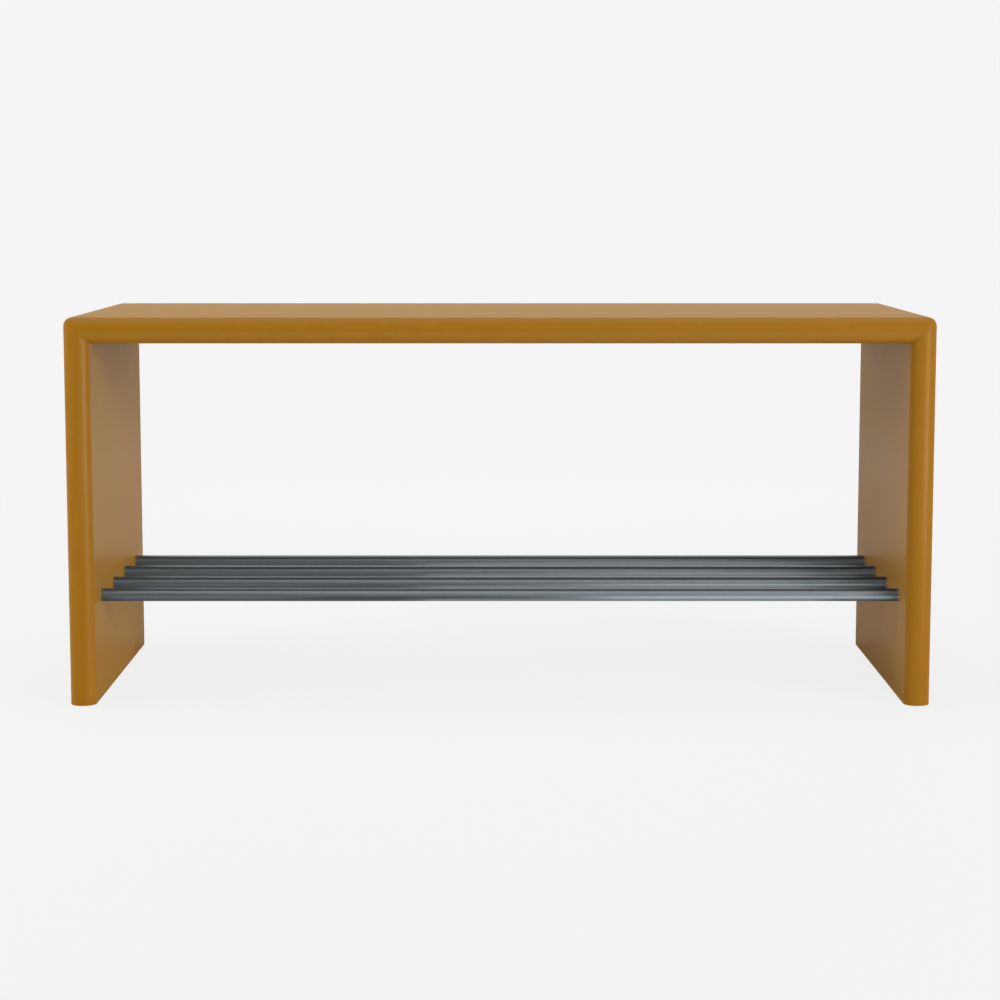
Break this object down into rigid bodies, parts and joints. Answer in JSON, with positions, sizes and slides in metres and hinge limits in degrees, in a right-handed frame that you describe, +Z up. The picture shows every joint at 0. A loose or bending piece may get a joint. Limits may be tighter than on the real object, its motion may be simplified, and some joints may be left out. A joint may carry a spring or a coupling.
{
  "type": "shoe bench",
  "caption": "Low hall bench of lacquered board with mitred corners and a half-round front edge, and round steel rails between its sides that hold shoes.",
  "frame": {"origin": "on the floor, under the middle of the bench's box", "axes": "+X along the length, front faces -Y, +Z up"},
  "size_m": [1, 0.4, 0.451],
  "materials": {
    "lacquered_board": "satin ochre lacquer on fibreboard",
    "rail_steel": "satin dark grey steel tube",
    "plug_nylon": "moulded black nylon",
    "dowel_beech": "bare beech",
    "glide_nylon": "moulded natural nylon"
  },
  "bodies": {
    "root": {"seat_board": "lacquered_board", "left_side_panel": "lacquered_board", "right_side_panel": "lacquered_board", "shoe_rail_1": "rail_steel", "shoe_rail_2": "rail_steel", "shoe_rail_3": "rail_steel", "shoe_rail_4": "rail_steel", "rail_1_left_plug": "plug_nylon", "rail_1_right_plug": "plug_nylon", "rail_2_left_plug": "plug_nylon", "rail_2_right_plug": "plug_nylon", "rail_3_left_plug": "plug_nylon", "rail_3_right_plug": "plug_nylon", "rail_4_left_plug": "plug_nylon", "rail_4_right_plug": "plug_nylon", "left_mitre_dowels": "dowel_beech", "right_mitre_dowels": "dowel_beech", "front_left_glide": "glide_nylon", "back_left_glide": "glide_nylon", "front_right_glide": "glide_nylon", "back_right_glide": "glide_nylon"}
  },
  "joints": []
}
